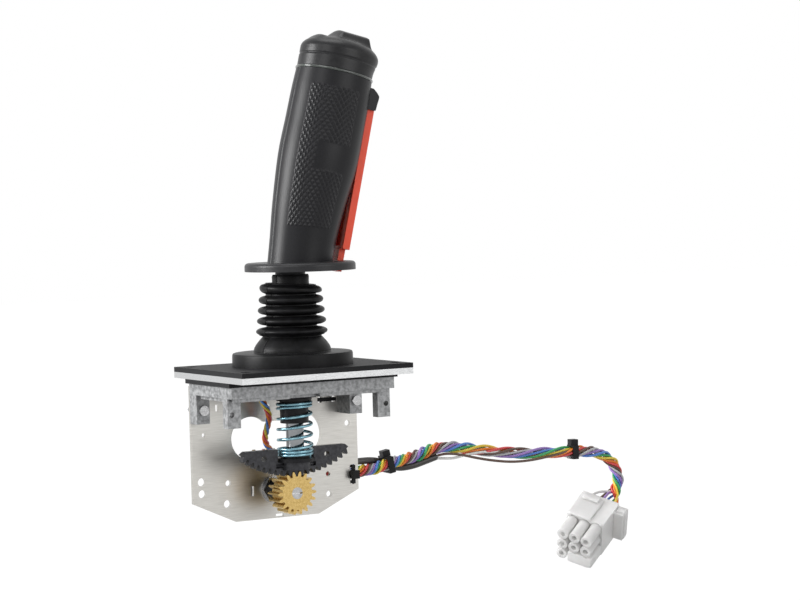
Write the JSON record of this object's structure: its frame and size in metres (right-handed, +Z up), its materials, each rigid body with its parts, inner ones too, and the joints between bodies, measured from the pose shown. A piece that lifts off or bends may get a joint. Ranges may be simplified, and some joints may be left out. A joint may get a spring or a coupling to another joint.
{
  "type": "industrial joystick",
  "caption": "Panel-mounted single-axis joystick with pistol grip, trigger and thumb rocker, driving a geared potentiometer, with wired plug.",
  "frame": {"origin": "centre of the four panel bolt holes, on the underside of the trim plate, where it meets the panel", "axes": "+Z up out of the panel along the lever at rest, +X along the lever's swing towards the trigger, +Y towards the plate that carries the potentiometer"},
  "size_m": [0.2869, 0.085, 0.3079],
  "materials": {
    "die_casting": "as cast, matt",
    "bright_plate": "satin",
    "stainless": "brushed",
    "polished_steel": "polished",
    "black_steel": "blackened",
    "brass": "machined",
    "blue_zinc": "passivated zinc",
    "black_rubber": "moulded",
    "black_plastic": "fine texture",
    "red_plastic": "moulded",
    "tinned": "tinned",
    "nylon": "translucent natural nylon",
    "leads": "insulated leads in nine colours",
    "sheath": "shrunk sleeve"
  },
  "bodies": {
    "root": {"mounting_casting": "die_casting", "trim_plate": "bright_plate", "boot_pad": "black_rubber", "lower_gasket": "black_rubber", "frame_screws": "stainless", "pivot_pin": "polished_steel", "pivot_clips": "stainless", "side_plate": "stainless", "side_plate_screws": "stainless", "side_plate_nuts": "stainless", "potentiometer": "black_plastic", "pot_terminals": "tinned", "pot_washer": "stainless", "pot_nut": "stainless", "bellows_boot": "black_rubber", "lever_leads": "leads", "harness_bundle": "leads", "sheathed_lead": "sheath", "cable_ties": "black_plastic", "plate_tie": "black_plastic", "upper_tie": "black_plastic", "connector_housing": "nylon", "connector_silos": "nylon", "connector_contacts": "tinned"},
    "lever": {"lever_rod": "polished_steel", "pivot_block": "black_steel", "pivot_bushes": "brass", "spring_seat": "black_plastic", "return_spring": "blue_zinc", "gear_sector": "black_steel", "sector_pin": "polished_steel", "hand_rest": "black_plastic", "boot_hub": "black_plastic", "grip_core": "black_plastic", "grip_left": "black_plastic", "grip_right": "black_plastic", "grip_screws": "stainless", "trigger_pin": "polished_steel", "trigger_switch": "black_plastic", "trigger_switch_terminals": "tinned", "trigger_spring": "polished_steel", "cap_bead": "black_plastic", "rocker_carrier": "black_plastic", "rocker_pin": "polished_steel", "rocker_switch": "black_plastic", "rocker_switch_terminals": "tinned", "thumb_cap": "black_rubber"},
    "sleeve": {"centring_sleeve": "black_plastic"},
    "pinion": {"brass_pinion": "brass", "pinion_grub_screw": "polished_steel", "pot_shaft": "polished_steel"},
    "trigger": {"trigger": "red_plastic", "trigger_striker": "black_plastic"},
    "rocker": {"thumb_rocker": "black_plastic", "rocker_wiper": "black_plastic"}
  },
  "joints": [
    {"name": "lever_tilt", "type": "hinge", "parent": "root", "child": "lever", "pos_m": [0, 0, 0.003], "axis": [0, 1, 0], "range_deg": [-20, 20], "stiffness_Nm_per_rad": 4, "deforming": ["bellows_boot"]},
    {"name": "pinion_turn", "type": "hinge", "parent": "root", "child": "pinion", "pos_m": [0, 0, -0.06281], "axis": [0, 1, 0], "range_deg": [-107, 107]},
    {"name": "centring_slide", "type": "slide", "parent": "lever", "child": "sleeve", "axis": [0, 0, -1], "range_m": [0, 0.0035], "stiffness_N_per_m": 1800, "deforming": ["return_spring"]},
    {"name": "trigger_pull", "type": "hinge", "parent": "lever", "child": "trigger", "pos_m": [0.0496, 0, 0.146], "axis": [0, 1, 0], "range_deg": [0, 4], "stiffness_Nm_per_rad": 0.4, "deforming": ["trigger_spring"]},
    {"name": "rocker_tilt", "type": "hinge", "parent": "lever", "child": "rocker", "pos_m": [0.0322, 0, 0.16834], "axis": [0, 1, 0], "range_deg": [-8, 8], "stiffness_Nm_per_rad": 0.1}
  ],
  "couplings": [
    {"joint": "pinion_turn", "follows": "lever_tilt", "ratio": -5.3333}
  ]
}
